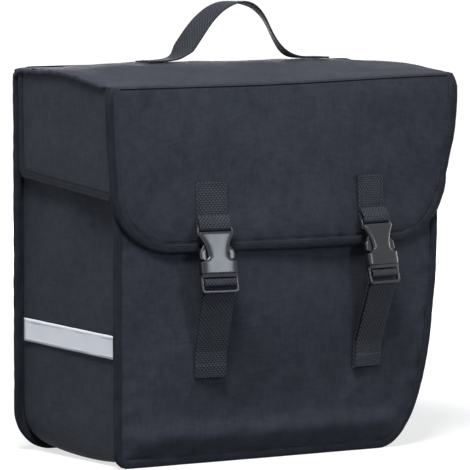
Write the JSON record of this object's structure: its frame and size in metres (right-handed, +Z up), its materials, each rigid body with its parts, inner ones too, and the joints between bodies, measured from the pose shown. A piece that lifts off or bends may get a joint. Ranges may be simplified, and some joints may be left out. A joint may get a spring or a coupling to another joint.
{
  "type": "pannier bag",
  "caption": "Single bicycle pannier bag with a buckled fold-over lid, bound seams, a cut-away heel corner, a webbing carry handle and hooks for a luggage rack.",
  "frame": {"origin": "On the floor, at the middle of the back panel's lower edge, in the plane of the back panel's outer face.", "axes": "+Z up; +Y out of the back panel, towards the bicycle; the flap and its buckles face -Y; the heel corner is cut on the +X side."},
  "size_m": [0.3716, 0.2183, 0.4026],
  "materials": {
    "cloth": "coated woven cloth, near-black blue-grey",
    "tape": "woven binding tape, black",
    "webbing": "black woven webbing",
    "plastic": "moulded black plastic, satin",
    "reflective": "silver-grey retroreflective tape",
    "board": "plain stiffener sheet",
    "steel": "plated steel"
  },
  "bodies": {
    "bag": {"front_panel": "cloth", "left_side_panel": "cloth", "right_side_panel": "cloth", "bottom_panel": "cloth", "back_panel": "cloth", "back_board": "board", "base_board": "board", "front_binding": "tape", "back_binding": "tape", "reflector_left": "reflective", "reflector_right": "reflective", "hinge_tape": "tape", "lower_strap_left": "webbing", "lower_strap_right": "webbing", "rack_hook_left": "plastic", "rack_hook_right": "plastic", "hook_plate_left": "steel", "hook_plate_right": "steel", "hook_rivet_1": "steel", "hook_rivet_2": "steel", "hook_rivet_3": "steel", "hook_rivet_4": "steel", "stay_strap": "webbing"},
    "lid": {"lid_top": "cloth", "lid_flap": "cloth", "flap_binding": "tape", "lid_gusset_left": "cloth", "lid_gusset_right": "cloth", "gusset_binding_left": "tape", "gusset_binding_right": "tape", "upper_strap_left": "webbing", "upper_strap_right": "webbing", "buckle_socket_left": "plastic", "buckle_socket_right": "plastic", "handle_end_left": "webbing", "handle_end_right": "webbing"},
    "handle": {"handle_loop": "webbing"},
    "plug_left": {"buckle_plug_left": "plastic"},
    "prong_left_left": {"prong_left_left": "plastic"},
    "prong_left_right": {"prong_left_right": "plastic"},
    "plug_right": {"buckle_plug_right": "plastic"},
    "prong_right_left": {"prong_right_left": "plastic"},
    "prong_right_right": {"prong_right_right": "plastic"}
  },
  "joints": [
    {"name": "lid_hinge", "type": "hinge", "parent": "bag", "child": "lid", "pos_m": [0, 0.0006, 0.3406], "axis": [-1, 0, 0], "range_deg": [0, 110]},
    {"name": "handle_swing", "type": "hinge", "parent": "lid", "child": "handle", "pos_m": [0, -0.06973, 0.36187], "axis": [1, 0, 0], "range_deg": [-55, 55], "stiffness_Nm_per_rad": 0.03},
    {"name": "plug_slide_left", "type": "slide", "parent": "bag", "child": "plug_left", "axis": [-0.0257, -0.2406, -0.9703], "range_m": [0, 0.032], "deforming": ["lower_strap_left", "prong_left_left", "prong_left_right"]},
    {"name": "prong_left_left_squeeze", "type": "hinge", "parent": "plug_left", "child": "prong_left_left", "pos_m": [-0.09514, -0.18652, 0.16929], "axis": [0.103, 0.9648, -0.2419], "range_deg": [0, 12.5], "stiffness_Nm_per_rad": 0.15},
    {"name": "prong_left_right_squeeze", "type": "hinge", "parent": "plug_left", "child": "prong_left_right", "pos_m": [-0.07624, -0.18854, 0.16929], "axis": [-0.103, -0.9648, 0.2419], "range_deg": [0, 12.5], "stiffness_Nm_per_rad": 0.15},
    {"name": "plug_slide_right", "type": "slide", "parent": "bag", "child": "plug_right", "axis": [0.0257, -0.2406, -0.9703], "range_m": [0, 0.032], "deforming": ["lower_strap_right", "prong_right_left", "prong_right_right"]},
    {"name": "prong_right_left_squeeze", "type": "hinge", "parent": "plug_right", "child": "prong_right_left", "pos_m": [0.07624, -0.18854, 0.16929], "axis": [-0.103, 0.9648, -0.2419], "range_deg": [0, 12.5], "stiffness_Nm_per_rad": 0.15},
    {"name": "prong_right_right_squeeze", "type": "hinge", "parent": "plug_right", "child": "prong_right_right", "pos_m": [0.09514, -0.18652, 0.16929], "axis": [0.103, -0.9648, 0.2419], "range_deg": [0, 12.5], "stiffness_Nm_per_rad": 0.15}
  ],
  "couplings": [
    {"joint": "prong_left_right_squeeze", "follows": "prong_left_left_squeeze", "ratio": 1},
    {"joint": "prong_right_right_squeeze", "follows": "prong_right_left_squeeze", "ratio": 1}
  ]
}
